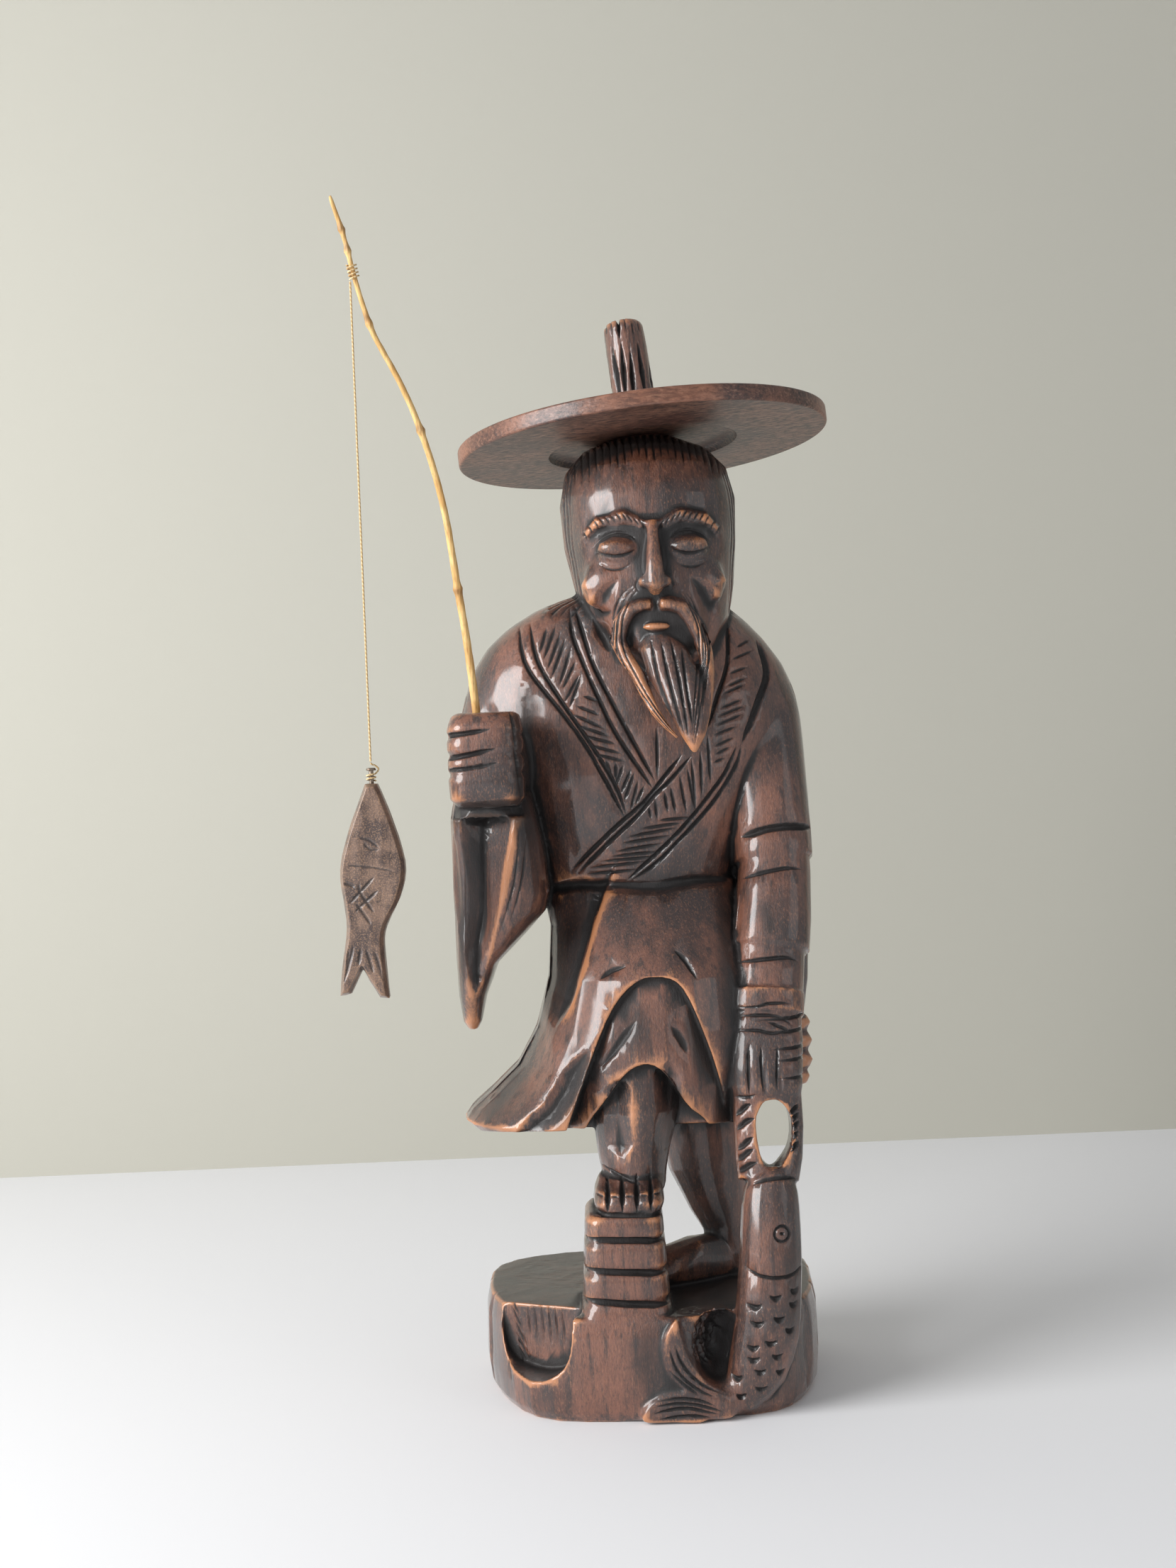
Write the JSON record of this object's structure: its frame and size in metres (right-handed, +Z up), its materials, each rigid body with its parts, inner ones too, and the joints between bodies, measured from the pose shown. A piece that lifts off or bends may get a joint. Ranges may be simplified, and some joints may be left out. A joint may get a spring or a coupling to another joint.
{
  "type": "carved fisherman figure",
  "caption": "Carved dark wood figure of a bearded fisherman on a rock, with a loose disc hat, a twig rod in the fist and a small fish hanging from it on a thread.",
  "frame": {"origin": "centre of the flat underside of the base, where the figure stands", "axes": "+Z up, +X to the right of a viewer who faces the figure, which looks along -Y"},
  "size_m": [0.1603, 0.1234, 0.3736],
  "materials": {
    "dark_wood": "dark stain with a glossy lacquer, worn to tan on the edges",
    "hat_wood": "dark stain, satin, fine radial and turned marks",
    "twig": "dried straw-coloured twig, satin, darker at its joints",
    "thread": "tan cotton sewing thread",
    "fish_wood": "dark stain, dull, scratched",
    "nail": "dulled steel"
  },
  "bodies": {
    "figure": {"carved_figure": "dark_wood"},
    "hat": {"hat": "hat_wood"},
    "rod": {"fishing_rod": "twig", "line_tie": "thread"},
    "line": {"fishing_line": "thread"},
    "fish": {"hung_fish": "fish_wood", "fish_nail": "nail", "line_knot": "thread"}
  },
  "joints": [
    {"name": "hat_lift", "type": "slide", "parent": "figure", "child": "hat", "axis": [-0.1191, 0.0198, 0.9927], "range_m": [0, 0.045]},
    {"name": "rod_pull", "type": "slide", "parent": "figure", "child": "rod", "axis": [-0.0821, -0.1505, 0.9852], "range_m": [0, 0.03]},
    {"name": "line_swing", "type": "hinge", "parent": "rod", "child": "line", "pos_m": [-0.0787, -0.0581, 0.3488], "axis": [1, 0, 0], "range_deg": [-40, 40]},
    {"name": "fish_spin", "type": "hinge", "parent": "line", "child": "fish", "pos_m": [-0.0787, -0.0581, 0.2052], "axis": [0, 0, 1], "continuous": true}
  ]
}
